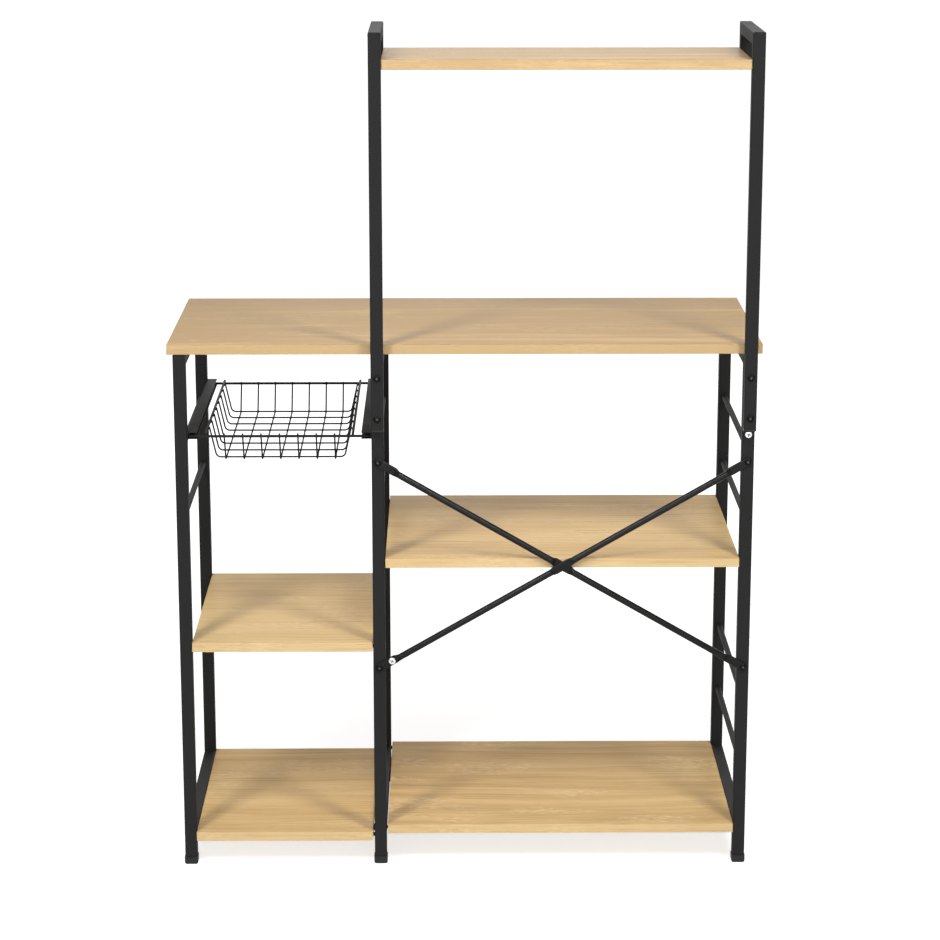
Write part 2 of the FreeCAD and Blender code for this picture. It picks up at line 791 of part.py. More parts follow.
def length_wire(x):
    """A wire along the basket, under the cross wires and up to both rim wires."""
    top = rim_z + mesh_tip_rise
    low = length_bottom_z
    back_top = rim_ys[0] + mesh_beside_rim
    front_top = rim_ys[1] - mesh_beside_rim
    back_low = rim_ys[0] + length_wire_lean
    front_low = rim_ys[1] - length_wire_lean
    shapes = [(back_top, top), (back_low, low), (front_low, low), (front_top, top)]
    return bent_wire([vec(x, y, z) for y, z in shapes])


def row(middle, half_span, count):
    """Evenly spaced places on both sides of the middle, the outer two at the ends of the span."""
    return [middle + half_span * (2 * i / (count - 1) - 1) for i in range(count)]


cross_half_span = (rim_ys[1] - rim_ys[0]) / 2 - cross_wire_rim_inset
length_half_span = cross_wire_half_bottom - length_wire_corner_inset
save("basket_cross_wires", *[cross_wire(y) for y in row(basket_y, cross_half_span, cross_wire_count)])
save("basket_length_wires", *[length_wire(x) for x in row(basket_x, length_half_span, length_wire_count)])
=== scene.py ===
# %% [markdown]
# # A kitchen rack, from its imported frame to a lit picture
# The rack is a welded frame of square steel tube with six oak-look boards, a crossed brace and a
# wire basket. Its solids come from the CAD model, already in place and in metres. Blender adds what
# the solids lack: the weld beads, the spot welds of the basket, the cross-recess screws, and every
# finish. The frame is loaded first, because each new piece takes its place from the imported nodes.

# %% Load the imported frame
import json
import math

import bmesh
import bpy
from mathutils import Matrix, Vector


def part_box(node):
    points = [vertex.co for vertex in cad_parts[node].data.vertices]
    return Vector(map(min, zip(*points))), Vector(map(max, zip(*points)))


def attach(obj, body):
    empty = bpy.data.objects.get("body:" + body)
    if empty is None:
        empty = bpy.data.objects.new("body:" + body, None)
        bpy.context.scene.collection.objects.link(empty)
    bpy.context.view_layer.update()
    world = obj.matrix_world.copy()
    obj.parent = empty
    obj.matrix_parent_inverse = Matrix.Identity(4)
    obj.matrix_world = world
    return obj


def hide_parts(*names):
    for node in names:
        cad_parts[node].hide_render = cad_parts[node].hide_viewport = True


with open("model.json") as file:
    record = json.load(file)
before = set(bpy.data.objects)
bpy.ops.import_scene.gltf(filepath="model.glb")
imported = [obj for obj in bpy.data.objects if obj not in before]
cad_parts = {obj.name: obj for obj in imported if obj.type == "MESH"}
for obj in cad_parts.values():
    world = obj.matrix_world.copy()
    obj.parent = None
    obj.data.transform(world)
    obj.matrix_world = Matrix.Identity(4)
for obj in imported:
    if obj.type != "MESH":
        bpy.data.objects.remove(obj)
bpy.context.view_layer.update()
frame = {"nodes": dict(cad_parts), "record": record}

cad_nodes = frame["nodes"]
mm = 0.001

# %% [markdown]
# ## The camera
# The photograph looks at the braced back from above, at an elevation of about 14 degrees. Its
# uprights stand parallel, which needs a level camera and a shift of half the picture. Such a shift
# would push the rack out of every other view, so this camera tilts down instead and stands further
# away, which keeps the uprights close to parallel.

# %% Camera
camera_place = Vector((-27.3, -4200.0, 1662.5)) * mm
camera_tilt = math.radians(13.662)
camera_turn = -0.00877
camera_lens = 104.23
camera_sensor = 36
camera_shift = -0.03
camera_data = bpy.data.cameras.new("camera")
camera_data.sensor_width = camera_sensor
camera_data.lens = camera_lens
camera_data.shift_y = camera_shift
camera = bpy.data.objects.new("camera", camera_data)
camera.location = camera_place
camera.rotation_euler = (math.pi / 2 - camera_tilt, 0, camera_turn)
bpy.context.scene.collection.objects.link(camera)
bpy.context.scene.camera = camera
print("camera", [round(v, 3) for v in camera_place], "lens", camera_lens)

# %% [markdown]
# ## Shader maths as Python
# A finish is easier to read as an expression than as a drawing of nodes. A Signal wraps one output
# socket, and an operator on it adds a Math node. A NodeSheet adds any other node: its settings are
# set first, and then its sockets take values or Signals.

# %% Signals and sheets of nodes
class Signal:
    """A value that flows through a node tree; an operator on it adds a Math node."""

    def __init__(self, sheet, socket):
        self.sheet = sheet
        self.socket = socket

    def maths(self, operation, first, second):
        return self.sheet.node("ShaderNodeMath", {"operation": operation}, {0: first, 1: second})

    def __add__(self, other):
        return self.maths("ADD", self, other)

    def __sub__(self, other):
        return self.maths("SUBTRACT", self, other)

    def __rsub__(self, other):
        return self.maths("SUBTRACT", other, self)

    def __mul__(self, other):
        return self.maths("MULTIPLY", self, other)

    def __gt__(self, other):
        return self.maths("GREATER_THAN", self, other)

    __radd__ = __add__
    __rmul__ = __mul__


class NodeSheet:
    """Adds nodes to a tree."""

    def __init__(self, tree):
        self.tree = tree

    def node(self, kind, settings=None, sockets=None, output=0):
        made = self.tree.nodes.new(kind)
        for name, value in (settings or {}).items():
            if name == "stops":
                self.set_stops(made.color_ramp.elements, value)
            else:
                setattr(made, name, value)
        for key, value in (sockets or {}).items():
            self.plug(made.inputs[key], value)
        return Signal(self, made.outputs[output])

    def plug(self, socket, value):
        if isinstance(value, Signal):
            self.tree.links.new(value.socket, socket)
        else:
            socket.default_value = value

    def set_stops(self, elements, stops):
        while len(elements) < len(stops):
            elements.new(0.5)
        for element, (place, colour) in zip(elements, stops):
            element.position = place
            element.color = (*colour, 1)


# %% A finish is a sheet around one shader
class Finish(NodeSheet):
    """A material around one Principled shader, with patterns on object coordinates."""

    object_coordinates = 3
    mixed_colour = 2

    def __init__(self, name, constants):
        self.material = bpy.data.materials.new(name)
        self.material.use_nodes = True
        super().__init__(self.material.node_tree)
        self.shader = self.tree.nodes["Principled BSDF"].inputs
        for socket, value in constants.items():
            self.shader[socket].default_value = value

    def place(self):
        return self.node("ShaderNodeTexCoord", output=self.object_coordinates)

    def stretch(self, vector, scale, offset=(0, 0, 0)):
        sockets = {"Vector": vector, "Scale": scale, "Location": offset}
        return self.node("ShaderNodeMapping", None, sockets)

    def noise(self, vector, detail=2, roughness=0.5):
        sockets = {"Vector": vector, "Scale": 1, "Detail": detail, "Roughness": roughness}
        return self.node("ShaderNodeTexNoise", None, sockets)

    def spread(self, value, low, high, to_low=0.0, to_high=1.0):
        sockets = {0: value, 1: low, 2: high, 3: to_low, 4: to_high}
        return self.node("ShaderNodeMapRange", None, sockets)

    def mix(self, factor, first, second):
        settings = {"data_type": "RGBA"}
        sockets = {0: factor, 6: first, 7: second}
        return self.node("ShaderNodeMix", settings, sockets, output=self.mixed_colour)

    def bump(self, height, distance):
        normal = self.node("ShaderNodeBump", None, {"Height": height, "Distance": distance})
        self.plug(self.shader["Normal"], normal)


# %% [markdown]
# ## Oak laminate
# The boards are chipboard under a printed oak laminate. Its grain runs along the length of the
# boards: broad soft bands, a few growth rings cut at a flat angle, fine streaks, pale ray flecks in
# patches, and short dark pores. All of it reads object coordinates stretched along X, so that the
# grain goes through the edges as well. The thin edge bands are paler than the faces, so the part
# between the upper and lower faces of a board is lightened by its height.

# %% Oak finish
oak_deep = (0.415, 0.255, 0.090)
oak_middle = (0.540, 0.350, 0.137)
oak_pale = (0.625, 0.420, 0.176)
oak_palest = (0.700, 0.492, 0.224)
oak_line = (0.380, 0.225, 0.085, 1)
oak_pore = (0.300, 0.172, 0.064, 1)
oak_fleck = (0.770, 0.580, 0.320, 1)
oak_edge_band = (0.760, 0.590, 0.370, 1)
edge_band_margin = 0.4 * mm
oak_ior = 1.2

# How often each pattern repeats along and across the grain, per metre
drift_rate = (2.2, 6, 6)
cloud_rate = (1.8, 6, 6)
band_rate = (1.4, 34, 34)
streak_rate = (9, 260, 260)
ring_rate = (1.7, 9, 9)
line_rate = (3.2, 330, 330)
patch_rate = (4.5, 17, 17)
fleck_rate = (75, 330, 330)
pore_rate = (34, 1300, 1300)

# How much each pattern gives to the tone of the wood, and how strongly each mark covers it
cloud_share, band_share, ring_share, streak_share = 0.26, 0.34, 0.07, 0.33
line_cover, pore_cover, edge_band_cover = 0.5, 0.32, 0.35
grain_sway = 0.05
grain_depth = 0.00006
pore_sink = 0.6


def oak_finish(name, board, seed, paleness_and_painted_light, fleck_cover):
    oak = Finish(name, {"IOR": oak_ior})
    shift = (seed * 1.73, seed * 2.31, seed * 0.67)
    drift = oak.noise(oak.stretch(oak.place(), drift_rate, shift))
    sway = oak.node("ShaderNodeCombineXYZ", None, {"Y": (drift - 0.5) * grain_sway, "Z": 0.0})
    grain = oak.node("ShaderNodeVectorMath", {"operation": "ADD"}, {0: oak.place(), 1: sway})
    clouds = oak.noise(oak.stretch(grain, cloud_rate, shift), 2)
    bands = oak.noise(oak.stretch(grain, band_rate, shift), 4, 0.62)
    streaks = oak.noise(oak.stretch(grain, streak_rate, shift), 4, 0.65)
    log_axis = (seed * 3.1, 1.4 + 0.9 * math.sin(seed * 2.4), 2.6 - seed * 0.31)
    rings = oak.node("ShaderNodeTexWave", {"wave_type": "RINGS", "rings_direction": "X"}, {
        "Vector": oak.stretch(grain, ring_rate, log_axis),
        "Scale": 1.0, "Distortion": 7.0, "Detail": 3.0, "Detail Scale": 1.1,
    })
    # The board's paleness is added to the tone here: partly its own tone, partly painted light.
    tone = cloud_share * clouds + band_share * bands + ring_share * rings + streak_share * streaks + paleness_and_painted_light
    stops = [(0.36, oak_deep), (0.45, oak_middle), (0.53, oak_pale), (0.64, oak_palest)]
    colour = oak.node("ShaderNodeValToRGB", {"stops": stops}, {"Fac": tone})
    lines = oak.spread(oak.noise(oak.stretch(grain, line_rate, shift), 1), 0.60, 0.68)
    colour = oak.mix(lines * line_cover, colour, oak_line)
    patches = oak.spread(oak.noise(oak.stretch(grain, patch_rate, shift), 1), 0.51, 0.62)
    flecks = oak.spread(oak.noise(oak.stretch(grain, fleck_rate, shift), 2), 0.49, 0.61)
    colour = oak.mix(patches * flecks * fleck_cover, colour, oak_fleck)
    pores = oak.spread(oak.noise(oak.stretch(grain, pore_rate, shift), 1), 0.60, 0.70)
    colour = oak.mix(pores * pore_cover, colour, oak_pore)
    board_low, board_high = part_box(board)
    height = oak.node("ShaderNodeSeparateXYZ", None, {0: oak.place()}, output=2)
    over_bottom = height > board_low.z + edge_band_margin
    under_top = height > board_high.z - edge_band_margin
    colour = oak.mix((over_bottom - under_top) * edge_band_cover, colour, oak_edge_band)
    oak.plug(oak.shader["Base Color"], colour)
    oak.plug(oak.shader["Roughness"], oak.spread(streaks, 0.3, 0.7, 0.42, 0.56))
    oak.bump(streaks - pores * pore_sink, grain_depth)
    return oak.material


# For each board: how much paler it is than the middle tone, and how strongly its flecks show. The
# paleness is partly each board's own tone and partly painted light: the worktop and the top shelf,
# nearest the lamps, are made darker, and the left middle board, under the basket, paler.
board_looks = {
    "worktop": (-0.155, 0.14),
    "top_shelf": (-0.17, 0.16),
    "left_middle_board": (0.115, 0.6),
    "left_bottom_board": (0.07, 0.65),
    "right_middle_board": (0.05, 0.55),
    "right_bottom_board": (0.015, 0.75),
}
board_finishes = {}
for board, (paleness_and_painted_light, fleck_cover) in board_looks.items():
    seed = 1 + len(board_finishes)
    board_finishes[board] = oak_finish("oak_" + board, board, seed, paleness_and_painted_light, fleck_cover)
print("oak finishes", len(board_finishes))

# %% [markdown]
# ## Black finishes
# Powder coat is matte paint with a fine orange-peel skin, so it gets a small bump and a roughness
# that drifts slowly along the tubes. The plastic caps are smoother, the bolts are blacker than the
# tubes, and the dipped coat of the basket wire is a little darker. The rods of the brace have a
# wet black paint, which shows a thin bright line along each rod. The middle of each bolt on the
# back carries a painted highlight: what lies near the axis of a bolt is mixed with a light grey,
# which stands for the light that the socket catches.

# %% Powder coat, plastic, black bolts, wire coat and rod paint
drift_per_metre = 9


def black_finish(name, base, roughness, skin_rate, skin_depth, ior, socket_highlight_axes=()):
    black = Finish(name, {"IOR": ior})
    place = black.place()
    drift = black.noise(black.stretch(place, (drift_per_metre,) * 3), 3)
    skin = black.noise(black.stretch(place, (skin_rate,) * 3), 2)
    dark = (base * 0.82, base * 0.84, base * 0.84, 1)
    light = (base * 1.2, base * 1.2, base * 1.18, 1)
    colour = black.mix(drift, dark, light)
    # Painted highlight: near each bolt axis the colour is mixed with a light grey, for light caught in the
    # socket.
    for x, z in socket_highlight_axes:
        flat = black.node("ShaderNodeVectorMath", {"operation": "MULTIPLY"}, {0: place, 1: (1, 0, 1)})
        ends = {0: flat, 1: (x, 0, z)}
        away = black.node("ShaderNodeVectorMath", {"operation": "DISTANCE"}, ends, output=1)
        colour = black.mix(away.maths("LESS_THAN", away, socket_highlight_radius), colour, painted_socket_highlight)
    black.plug(black.shader["Base Color"], colour)
    rough = black.spread(drift + 0.4 * skin, 0.4, 1.0, roughness - 0.05, roughness + 0.06)
    black.plug(black.shader["Roughness"], rough)
    black.bump(skin, skin_depth)
    return black.material


button_radius = 5.7 * mm
# Radius and grey of the painted highlight in the middle of each bolt.
socket_highlight_radius = 1.9 * mm
painted_socket_highlight = (0.13, 0.13, 0.127, 1)
bolt_axes = []
for bolt_node in ("lap_bolts", "brace_bolts"):
    low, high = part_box(bolt_node)
    bolt_axes += [(x, z) for x in (low.x + button_radius, high.x - button_radius)
                  for z in (low.z + button_radius, high.z - button_radius)]

powder_coat = black_finish("powder_coat", 0.0080, 0.68, 1500, 0.00004, 1.29)
cap_plastic = black_finish("cap_plastic", 0.0090, 0.40, 2600, 0.00002, 1.32)
bolt_black = black_finish("bolt_black", 0.0030, 0.38, 900, 0.00002, 1.17, bolt_axes)
wire_coat = black_finish("wire_coat", 0.0060, 0.60, 700, 0.00003, 1.26)
rod_paint = black_finish("rod_paint", 0.0030, 0.28, 1100, 0.00003, 1.26)
print("black finishes", 5)

# %% [markdown]
# ## Zinc plating
# The two bright screws, the nuts and the threaded inserts are zinc-plated steel: fully metallic,
# slightly blue, with a cloudy passivated skin and fine marks from the forming tool.

# %% Zinc
zinc = Finish("zinc_plating", {"Metallic": 1.0})
clouds = zinc.noise(zinc.stretch(zinc.place(), (260, 260, 260)), 3)
marks = zinc.noise(zinc.stretch(zinc.place(), (4000, 900, 4000)), 2)
zinc.plug(zinc.shader["Base Color"], zinc.mix(clouds, (0.58, 0.60, 0.64, 1), (0.78, 0.78, 0.76, 1)))
zinc.plug(zinc.shader["Roughness"], zinc.spread(clouds, 0.3, 0.7, 0.22, 0.38))
zinc.bump(marks, 0.00002)
print("zinc finish ready")

# %% [markdown]
# ## Finishes for the imported nodes
# The record says which material slot each node has. A slot maps to one finish, except that each
# board has its own oak, because two boards cut from one sheet never show the same grain and each
# board carries its own paleness, partly painted light, and that the rods of the brace are painted
# and not powder-coated.

# %% Finish every imported node
slot_finishes = {"black_steel": powder_coat, "black_plastic": cap_plastic, "black_bolts": bolt_black,
                 "zinc": zinc.material, "basket_wire": wire_coat}

own_finishes = dict(board_finishes)
for rod_node in ("falling_brace_rod", "rising_brace_rod", "brace_rivet"):
    own_finishes[rod_node] = rod_paint


def set_finish(piece, material):
    if not piece.material_slots:
        piece.data.materials.append(material)
    for slot in piece.material_slots:
        slot.material = material


for subpart in frame["record"]["subparts"]:
    node_name = subpart["node"]
    finish = own_finishes.get(node_name) or slot_finishes[subpart["material_slot"]]
    set_finish(cad_nodes[node_name], finish)

# %% [markdown]
# ## From a bmesh to a piece
# Every new piece is made the same way: a bmesh is filled by operators in the rack's own frame,
# becomes an object at the origin, gets a finish and a slot, and rides on a body.

# %% Make a piece
def make_piece(name, mesh, body, slot, smooth=True):
    bmesh.ops.remove_doubles(mesh, verts=mesh.verts, dist=0.01 * mm)
    bmesh.ops.recalc_face_normals(mesh, faces=mesh.faces)
    for face in mesh.faces:
        face.smooth = smooth
    data = bpy.data.meshes.new(name)
    mesh.to_mesh(data)
    mesh.free()
    piece = bpy.data.objects.new(name, data)
    bpy.context.scene.collection.objects.link(piece)
    set_finish(piece, slot_finishes[slot])
    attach(piece, body)
    print(name, "faces", len(data.polygons))
    return piece


def facing(direction, place):
    """The transform that turns +Z to a direction and moves the origin to a place."""
    return Matrix.Translation(place) @ direction.to_track_quat("Z", "Y").to_matrix().to_4x4()


# %% [markdown]
# ## Weld beads round the rungs
# Each rung is a round bar that butts on two posts, with a small fillet weld all round. A torus is a
# circle spun about the rung, and its ripples come from pushing the vertices in and out by their
# angle, the way the pool of a weld sets in scales.

# %% Ring beads
rung_nodes = ["left_rungs", "middle_rungs", "right_upper_rungs", "right_lower_rungs"]
bead_radius = 1.7 * mm
bead_scales = 17
bead_sides = 8
bead_steps = 34
bead_ripple = 0.22 * mm


def ring_bead(mesh, centre, axis, radius):
    """A rippled ring of weld round a bar that ends at centre."""
    side = axis.orthogonal().normalized()
    start = centre + side * radius
    around = axis.cross(side)
    ring = bmesh.ops.create_circle(mesh, segments=bead_sides, radius=bead_radius,
                                   matrix=facing(around, start))
    edges = list({edge for vert in ring["verts"] for edge in vert.link_edges})
    before = set(mesh.verts) - set(ring["verts"])
    bmesh.ops.spin(mesh, geom=ring["verts"] + edges, cent=centre, axis=axis,
                   angle=2 * math.pi, steps=bead_steps, use_merge=True)
    for vert in set(mesh.verts) - before:
        arm = vert.co - centre
        arm -= axis * arm.dot(axis)
        angle = math.atan2(arm.dot(around), arm.dot(side))
        vert.co += arm.normalized() * (bead_ripple * math.cos(angle * bead_scales))


def bars_in(node):
    """The centres of the ends and the radius of the level bars in a node of rungs."""
    low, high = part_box(node)
    radius = (high.x - low.x) / 2
    x = (low.x + high.x) / 2
    ends = [Vector((x, y, z)) for y in (low.y, high.y) for z in (low.z + radius, high.z - radius)]
    return ends, radius


beads = bmesh.new()
for rung_node in rung_nodes:
    rung_ends, rung_radius = bars_in(rung_node)
    for rung_end in rung_ends:
        ring_bead(beads, rung_end, Vector((0, 1, 0)), rung_radius)
make_piece("rung_welds", beads, "rack", "black_steel")

# %% [markdown]
# ## Straight weld beads
# The bottom rails and the basket channels are held by short seams. A seam starts as an octagon
# across the joint and is extruded along it, ring by ring. Each ring is scaled as it is made: small
# at both ends, and rippled between them. A ground seam is pressed flat along one direction.

# %% Straight beads
steps_per_scale = 3
seam_ripple = 0.13
seam_end_size = 0.35
seam_end_slope = 5
ground_away = 0.72


def seam_bead(mesh, start, end, radius, scales=9, pressed=None):
    """A rippled seam from start to end; pressed is the direction along which it is ground flat."""
    run = end - start
    steps = scales * steps_per_scale
    ring = bmesh.ops.create_circle(mesh, cap_ends=True, segments=bead_sides, radius=radius,
                                   matrix=facing(run, start))["verts"]
    edges = list({edge for vert in ring for edge in vert.link_edges})
    for step in range(steps + 1):
        if step:
            grown = bmesh.ops.extrude_edge_only(mesh, edges=edges)["geom"]
            ring = [part for part in grown if isinstance(part, bmesh.types.BMVert)]
            edges = [part for part in grown if isinstance(part, bmesh.types.BMEdge)
                     and set(part.verts) <= set(ring)]
        along = step / steps
        centre = start + run * along
        round_end = min(1.0, seam_end_size + seam_end_slope * min(along, 1 - along))
        swell = radius * round_end * (1 + seam_ripple * math.cos(2 * math.pi * scales * along))
        for vert in ring:
            arm = vert.co - start
            arm = (arm - run * (arm.dot(run) / run.length_squared)).normalized() * swell
            if pressed:
                arm -= pressed * (arm.dot(pressed) * ground_away)
            vert.co = centre + arm
    bmesh.ops.contextual_create(mesh, geom=edges)


rail_beads = bmesh.new()
seam_inset = 2.6 * mm
rail_seam_radius = 1.5 * mm
for side_name in ("left", "middle", "right"):
    low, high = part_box(side_name + "_bottom_rail")
    for seam_y in (low.y, high.y):
        for seam_z in (low.z, high.z):
            seam_start = Vector((low.x + seam_inset, seam_y, seam_z))
            seam_end = Vector((high.x - seam_inset, seam_y, seam_z))
            seam_bead(rail_beads, seam_start, seam_end, rail_seam_radius)
make_piece("rail_welds", rail_beads, "rack", "black_steel")

# %% [markdown]
# ## Channel welds
# Each basket channel lies against two posts. The seams run along the lower edge of its web, where a
# welder can reach them, and stay outside the groove in which the basket slides.

# %% Channel seams
channel_beads = bmesh.new()
channel_seam_radius = 1.2 * mm
post_of_channel = {"left_basket_channel": "left", "right_basket_channel": "middle"}
for channel_node, side_name in post_of_channel.items():
    low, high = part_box(channel_node)
    post_low, post_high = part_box(side_name + "_back_post")
    web_x = post_high.x if side_name == "left" else post_low.x
    for place_name in ("back", "front"):
        post_low, post_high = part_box(side_name + "_" + place_name + "_post")
        seam_start = Vector((web_x, post_low.y + seam_inset, low.z))
        seam_end = Vector((web_x, post_high.y - seam_inset, low.z))
        seam_bead(channel_beads, seam_start, seam_end, channel_seam_radius)
make_piece("channel_welds", channel_beads, "rack", "black_steel")

# %% [markdown]
# ## Ground mitres
# Where a top rail meets its posts, both tubes are cut at 45 degrees and the weld is ground almost
# flush. What stays is a faint flat line down the diagonal of each side face.

# %% Mitre lines
mitre_beads = bmesh.new()
mitred_bars = ["left_top_rail", "middle_top_rail", "right_top_rail", "middle_top_bar", "right_top_bar"]
mitre_inset = 2.4 * mm
mitre_radius = 0.9 * mm
mitre_scales = 12
for bar_node in mitred_bars:
    low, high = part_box(bar_node)
    width = high.x - low.x
    for corner_y, inwards in ((low.y, 1), (high.y, -1)):
        for face_x, outwards in ((low.x, -1), (high.x, 1)):
            start = Vector((face_x, corner_y + inwards * mitre_inset, high.z - mitre_inset))
            reach = width - mitre_inset
            end = Vector((face_x, corner_y + inwards * reach, high.z - reach))
            seam_bead(mitre_beads, start, end, mitre_radius, mitre_scales, Vector((outwards, 0, 0)))
make_piece("mitre_welds", mitre_beads, "rack", "black_steel")

# %% [markdown]
# ## Spot welds of the basket
# A wire basket is welded by pressing crossed wires together under current, which leaves a small
# flat nugget at each crossing. There are about ninety, so each is a sphere of only 48 faces, scaled
# flat, at a place worked out from the boxes of the wires.

# %% Spot welds
def nugget(mesh, place, size):
    scale = Matrix.Diagonal((size[0], size[1], size[2], 1))
    bmesh.ops.create_uvsphere(mesh, u_segments=8, v_segments=6, radius=1.0,
                              matrix=Matrix.Translation(place) @ scale)


def evenly(first, last, count):
    return [first + (last - first) * i / (count - 1) for i in range(count)]


cross_low, cross_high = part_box("basket_cross_wires")
length_low, length_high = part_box("basket_length_wires")
side_low, side_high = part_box("basket_side_wires")
back_rim_low, back_rim_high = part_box("basket_back_rim_wire")
front_rim_low, front_rim_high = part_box("basket_front_rim_wire")
mesh_radius = 1.25 * mm
cross_wires = 8
length_wires = 7
nugget_width = 1.5 * mm
nugget_rise = 0.9 * mm
nugget_height = 1.7 * mm
corner_nugget_width = 1.8 * mm
rim_radius = (back_rim_high.z - back_rim_low.z) / 2
cross_ys = evenly(cross_low.y + mesh_radius, cross_high.y - mesh_radius, cross_wires)
length_xs = evenly(length_low.x + mesh_radius, length_high.x - mesh_radius, length_wires)
side_xs = (side_low.x + rim_radius, side_high.x - rim_radius)
rim_ys = ((back_rim_low.y + back_rim_high.y) / 2, (front_rim_low.y + front_rim_high.y) / 2)
middle_x = (side_low.x + side_high.x) / 2
middle_y = sum(rim_ys) / 2
spot_z = cross_low.z
rim_z = (back_rim_low.z + back_rim_high.z) / 2
side_z = (side_low.z + side_high.z) / 2

spots = bmesh.new()
for spot_x in length_xs:
    for spot_y in cross_ys:
        nugget(spots, Vector((spot_x, spot_y, spot_z)), (nugget_width, nugget_width, nugget_rise))
    for rim_y in rim_ys:
        inward = math.copysign(rim_radius, middle_y - rim_y)
        nugget(spots, Vector((spot_x, rim_y + inward, rim_z)), (nugget_width, nugget_rise, nugget_height))
for side_x in side_xs:
    inward = math.copysign(rim_radius, middle_x - side_x)
    for spot_y in cross_ys:
        nugget(spots, Vector((side_x + inward, spot_y, side_z)), (nugget_rise, nugget_width, nugget_height))
    for rim_y in rim_ys:
        corner = Vector((side_x, rim_y, rim_z + rim_radius))
        nugget(spots, corner, (corner_nugget_width, corner_nugget_width, nugget_rise))
make_piece("basket_spot_welds", spots, "basket", "basket_wire")

# %% [markdown]
# ## Cross-recess screws
# The two bright screws have pan heads with a cross recess. The head and its shank are one profile
# spun about the axis. The recess is cut by a Boolean with two crossed tapered blades, which is safe
# here because both bodies are closed. The cutter hands its own dark finish to the faces that it
# makes: painted shade, which darkens the recess. The result is baked into a plain mesh and stands
# for the imported node.

# %% Pan-head screws
pan_radius = 5.6 * mm
pan_height = 2.4 * mm
shank_radius = 3.0 * mm
blade_width = 6.2 * mm
blade_thickness = 1.5 * mm
blade_depth = 1.8 * mm
blade_proud = 0.1 * mm
blade_taper = 0.45
screw_facets = 40
pan_profile = [(0.0, 1.0), (0.45, 0.985), (0.72, 0.90), (0.90, 0.66), (0.985, 0.34), (1.0, 0.0)]


def pan_screw(mesh, seat, shank_length):
    """A screw whose head stands on seat and faces -Y."""
    outline = [(pan_radius * r, pan_height * h) for r, h in pan_profile]
    outline += [(shank_radius, 0.0), (shank_radius, -shank_length), (0.0, -shank_length)]
    verts = [mesh.verts.new(seat + Vector((r, -h, 0))) for r, h in outline]
    edges = [mesh.edges.new(pair) for pair in zip(verts, verts[1:])]
    bmesh.ops.spin(mesh, geom=verts + edges, cent=seat, axis=Vector((0, 1, 0)),
                   angle=2 * math.pi, steps=screw_facets, use_merge=True)


def recess_blade(mesh, seat, turn):
    """One tapered blade of the cross, wide at the crown and narrow below."""
    crown = seat - Vector((0, pan_height - blade_depth / 2 + blade_proud, 0))
    place = Matrix.Translation(crown) @ Matrix.Rotation(turn, 4, "Y")
    blade = bmesh.ops.create_cube(mesh, size=1.0, matrix=place)
    spin_back = place.inverted()
    for vert in blade["verts"]:
        local = spin_back @ vert.co
        taper = 1.0 if local.y < 0 else blade_taper
        width = blade_width * taper
        vert.co = place @ Vector((local.x * width, local.y * blade_depth, local.z * blade_thickness))


screws_low, screws_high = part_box("zinc_screws")
post_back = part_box("right_back_post")[0].y
seats = [Vector((screws_low.x + pan_radius, screws_low.y + pan_height, screws_low.z + pan_radius)),
         Vector((screws_high.x - pan_radius, post_back, screws_high.z - pan_radius))]
screws = bmesh.new()
blades = bmesh.new()
for screw_seat, first_turn in zip(seats, (0.5, 0.2)):
    pan_screw(screws, screw_seat, screws_high.y - screw_seat.y)
    for blade_turn in (first_turn, first_turn + math.pi / 2):
        recess_blade(blades, screw_seat, blade_turn)

# %% Cut the recess and keep the result
bmesh.ops.recalc_face_normals(blades, faces=blades.faces)
cutter_data = bpy.data.meshes.new("recess_cutter")
blades.to_mesh(cutter_data)
blades.free()
recess_finish = Finish("zinc_recess_painted_shade", {"Metallic": 0.6})
# Painted shade: the faces cut by the blades get a dark, dull, mottled grey that darkens the recess.
recess_shade_noise = recess_finish.noise(recess_finish.stretch(recess_finish.place(), (900, 900, 900)), 3)
painted_recess_shade = recess_finish.mix(recess_shade_noise, (0.10, 0.10, 0.10, 1), (0.26, 0.26, 0.25, 1))
recess_finish.plug(recess_finish.shader["Base Color"], painted_recess_shade)
recess_finish.plug(recess_finish.shader["Roughness"], recess_finish.spread(recess_shade_noise, 0.3, 0.7, 0.45, 0.65))
cutter_data.materials.append(recess_finish.material)
cutter = bpy.data.objects.new("recess_cutter", cutter_data)
bpy.context.scene.collection.objects.link(cutter)
zinc_screws = make_piece("cross_recess_screws", screws, "rack", "zinc", smooth=False)
recess = zinc_screws.modifiers.new("recess", "BOOLEAN")
recess.operation = "DIFFERENCE"
recess.solver = "EXACT"
recess.use_self = True
recess.material_mode = "TRANSFER"
recess.object = cutter
graph = bpy.context.evaluated_depsgraph_get()
cut_data = bpy.data.meshes.new_from_object(zinc_screws.evaluated_get(graph))
zinc_screws.modifiers.clear()
zinc_screws.data = cut_data
bpy.data.objects.remove(cutter)
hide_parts("zinc_screws")
print("screw faces", len(cut_data.polygons))

# %% [markdown]
# ## Floor and surroundings
# The photograph has a white ground and soft light from all round. The world is white to the camera
# and to reflections, and dimmer to the surfaces that it lights. The floor is pale, and adds a
# little white of its own for the same rays, so that it meets the background but keeps the shadow.

# %% World
def seen_directly(sheet):
    """One for rays from the camera, reflections and glass, and nought for the light on surfaces."""
    names = ("Is Camera Ray", "Is Glossy Ray", "Is Transmission Ray")
    rays = [sheet.node("ShaderNodeLightPath", output=name) for name in names]
    either = rays[0].maths("MAXIMUM", rays[0], rays[1])
    return either.maths("MAXIMUM", either, rays[2])


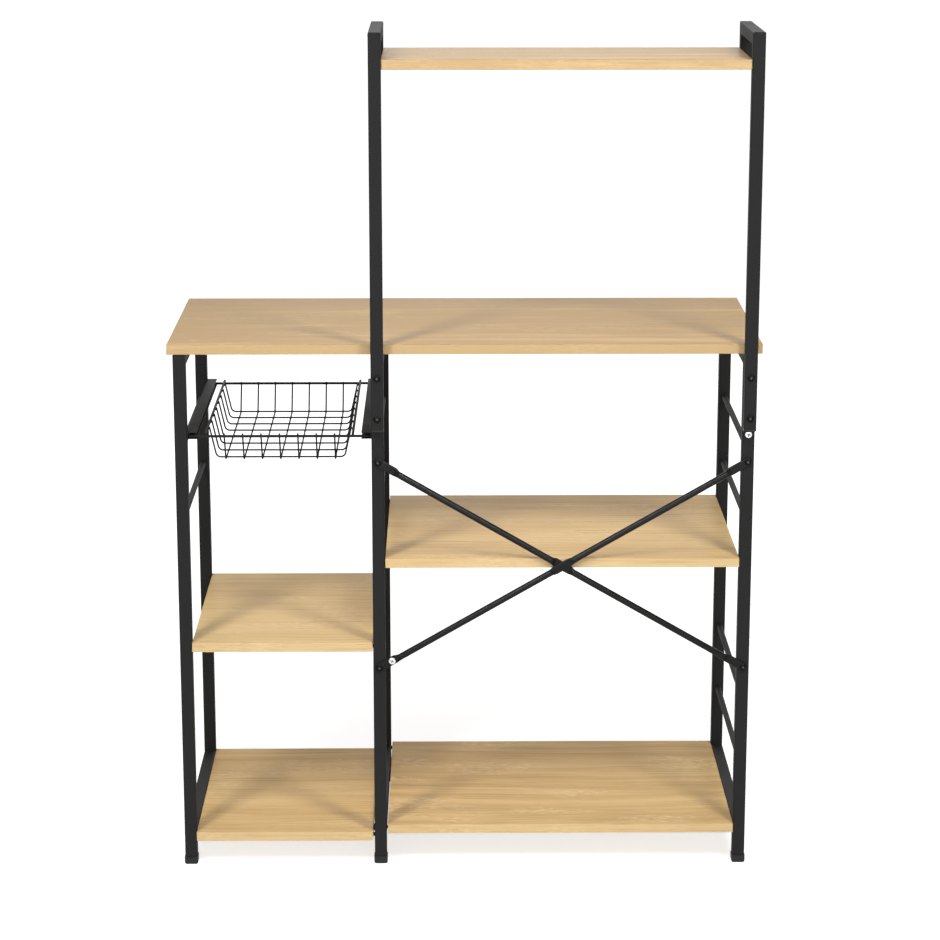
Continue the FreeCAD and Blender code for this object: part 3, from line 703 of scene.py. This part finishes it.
world = bpy.data.worlds.new("studio")
bpy.context.scene.world = world
world.use_nodes = True
sky = NodeSheet(world.node_tree)
ambient_strength = 0.2
ambient = sky.node("ShaderNodeBackground", None, {"Color": (1, 1, 1, 1), "Strength": ambient_strength})
backdrop = sky.node("ShaderNodeBackground", None, {"Color": (1, 1, 1, 1), "Strength": 1.0})
surround = sky.node("ShaderNodeMixShader", None, {0: seen_directly(sky), 1: ambient, 2: backdrop})
sky.plug(world.node_tree.nodes["World Output"].inputs["Surface"], surround)
print("ambient", ambient_strength)

# %% Floor
floor_radius = 30.0
veil_starts, veil_ends = 0.6, 2.6
near_veil, far_veil = 0.70, 0.85
floor_finish = Finish("floor", {"Base Color": (0.8, 0.8, 0.8, 1), "Roughness": 0.9, "Emission Strength": 1.0})
away = floor_finish.node("ShaderNodeVectorMath", {"operation": "LENGTH"}, {0: floor_finish.place()}, output=1)
veil = floor_finish.spread(away, veil_starts, veil_ends, near_veil, far_veil) * seen_directly(floor_finish)
glow = floor_finish.mix(veil, (0, 0, 0, 1), (1, 1, 1, 1))
floor_finish.plug(floor_finish.shader["Emission Color"], glow)
floor_mesh = bmesh.new()
bmesh.ops.create_circle(floor_mesh, cap_ends=True, segments=64, radius=floor_radius)
floor_data = bpy.data.meshes.new("floor")
floor_mesh.to_mesh(floor_data)
floor_mesh.free()
floor = bpy.data.objects.new("floor", floor_data)
bpy.context.scene.collection.objects.link(floor)
set_finish(floor, floor_finish.material)
print("floor radius", floor_radius)

# %% [markdown]
# ## Lamps
# On the boards each post throws two soft shadows, one to each side, at about 34 degrees from the
# view, and the boards grow darker away from the front. So two narrow, tall softboxes stand close by,
# high up to the left and to the right. Their light is gathered by grids and aimed at the middle
# boards, which are the brightest. The tall posts are lighter than the low ones, as if they
# mirrored something bright and low beside the camera: a weak strip lamp stands there. A wide lamp
# behind the rack keeps the user's side readable in the other views.

# %% Lamps
middle_height = 0.6


def softbox(name, azimuth, elevation, distance, width, height, watts, spread=180, aim_height=middle_height):
    lamp = bpy.data.lights.new(name, "AREA")
    lamp.spread = math.radians(spread)
    lamp.shape = "RECTANGLE"
    lamp.size = width
    lamp.size_y = height
    lamp.energy = watts
    middle = Vector((0, 0, middle_height))
    a, e = math.radians(azimuth), math.radians(elevation)
    out = Vector((math.sin(a) * math.cos(e), -math.cos(a) * math.cos(e), math.sin(e)))
    stand = bpy.data.objects.new(name, lamp)
    stand.location = middle + out * distance
    beam = stand.location - Vector((0, 0, aim_height))
    stand.rotation_euler = beam.to_track_quat("Z", "Y").to_euler()
    bpy.context.scene.collection.objects.link(stand)
    print(name, [round(v, 2) for v in stand.location], watts, "W")


softbox("left_softbox", -34, 42, 2.5, 0.38, 1.1, 10.7, 100, 0.3)
softbox("right_softbox", 34, 42, 2.5, 0.42, 1.1, 10.2, 100, 0.3)
softbox("front_strip", 4, 1, 3.2, 1.7, 0.7, 24)
softbox("back_fill", 180, 30, 4.0, 2.0, 2.0, 30)

# %% [markdown]
# ## Plain output
# A studio picture of a product keeps its colours as they are, so the view transform is Standard and
# nothing else is changed.

# %% Colour and the end
bpy.context.scene.view_settings.view_transform = "Standard"
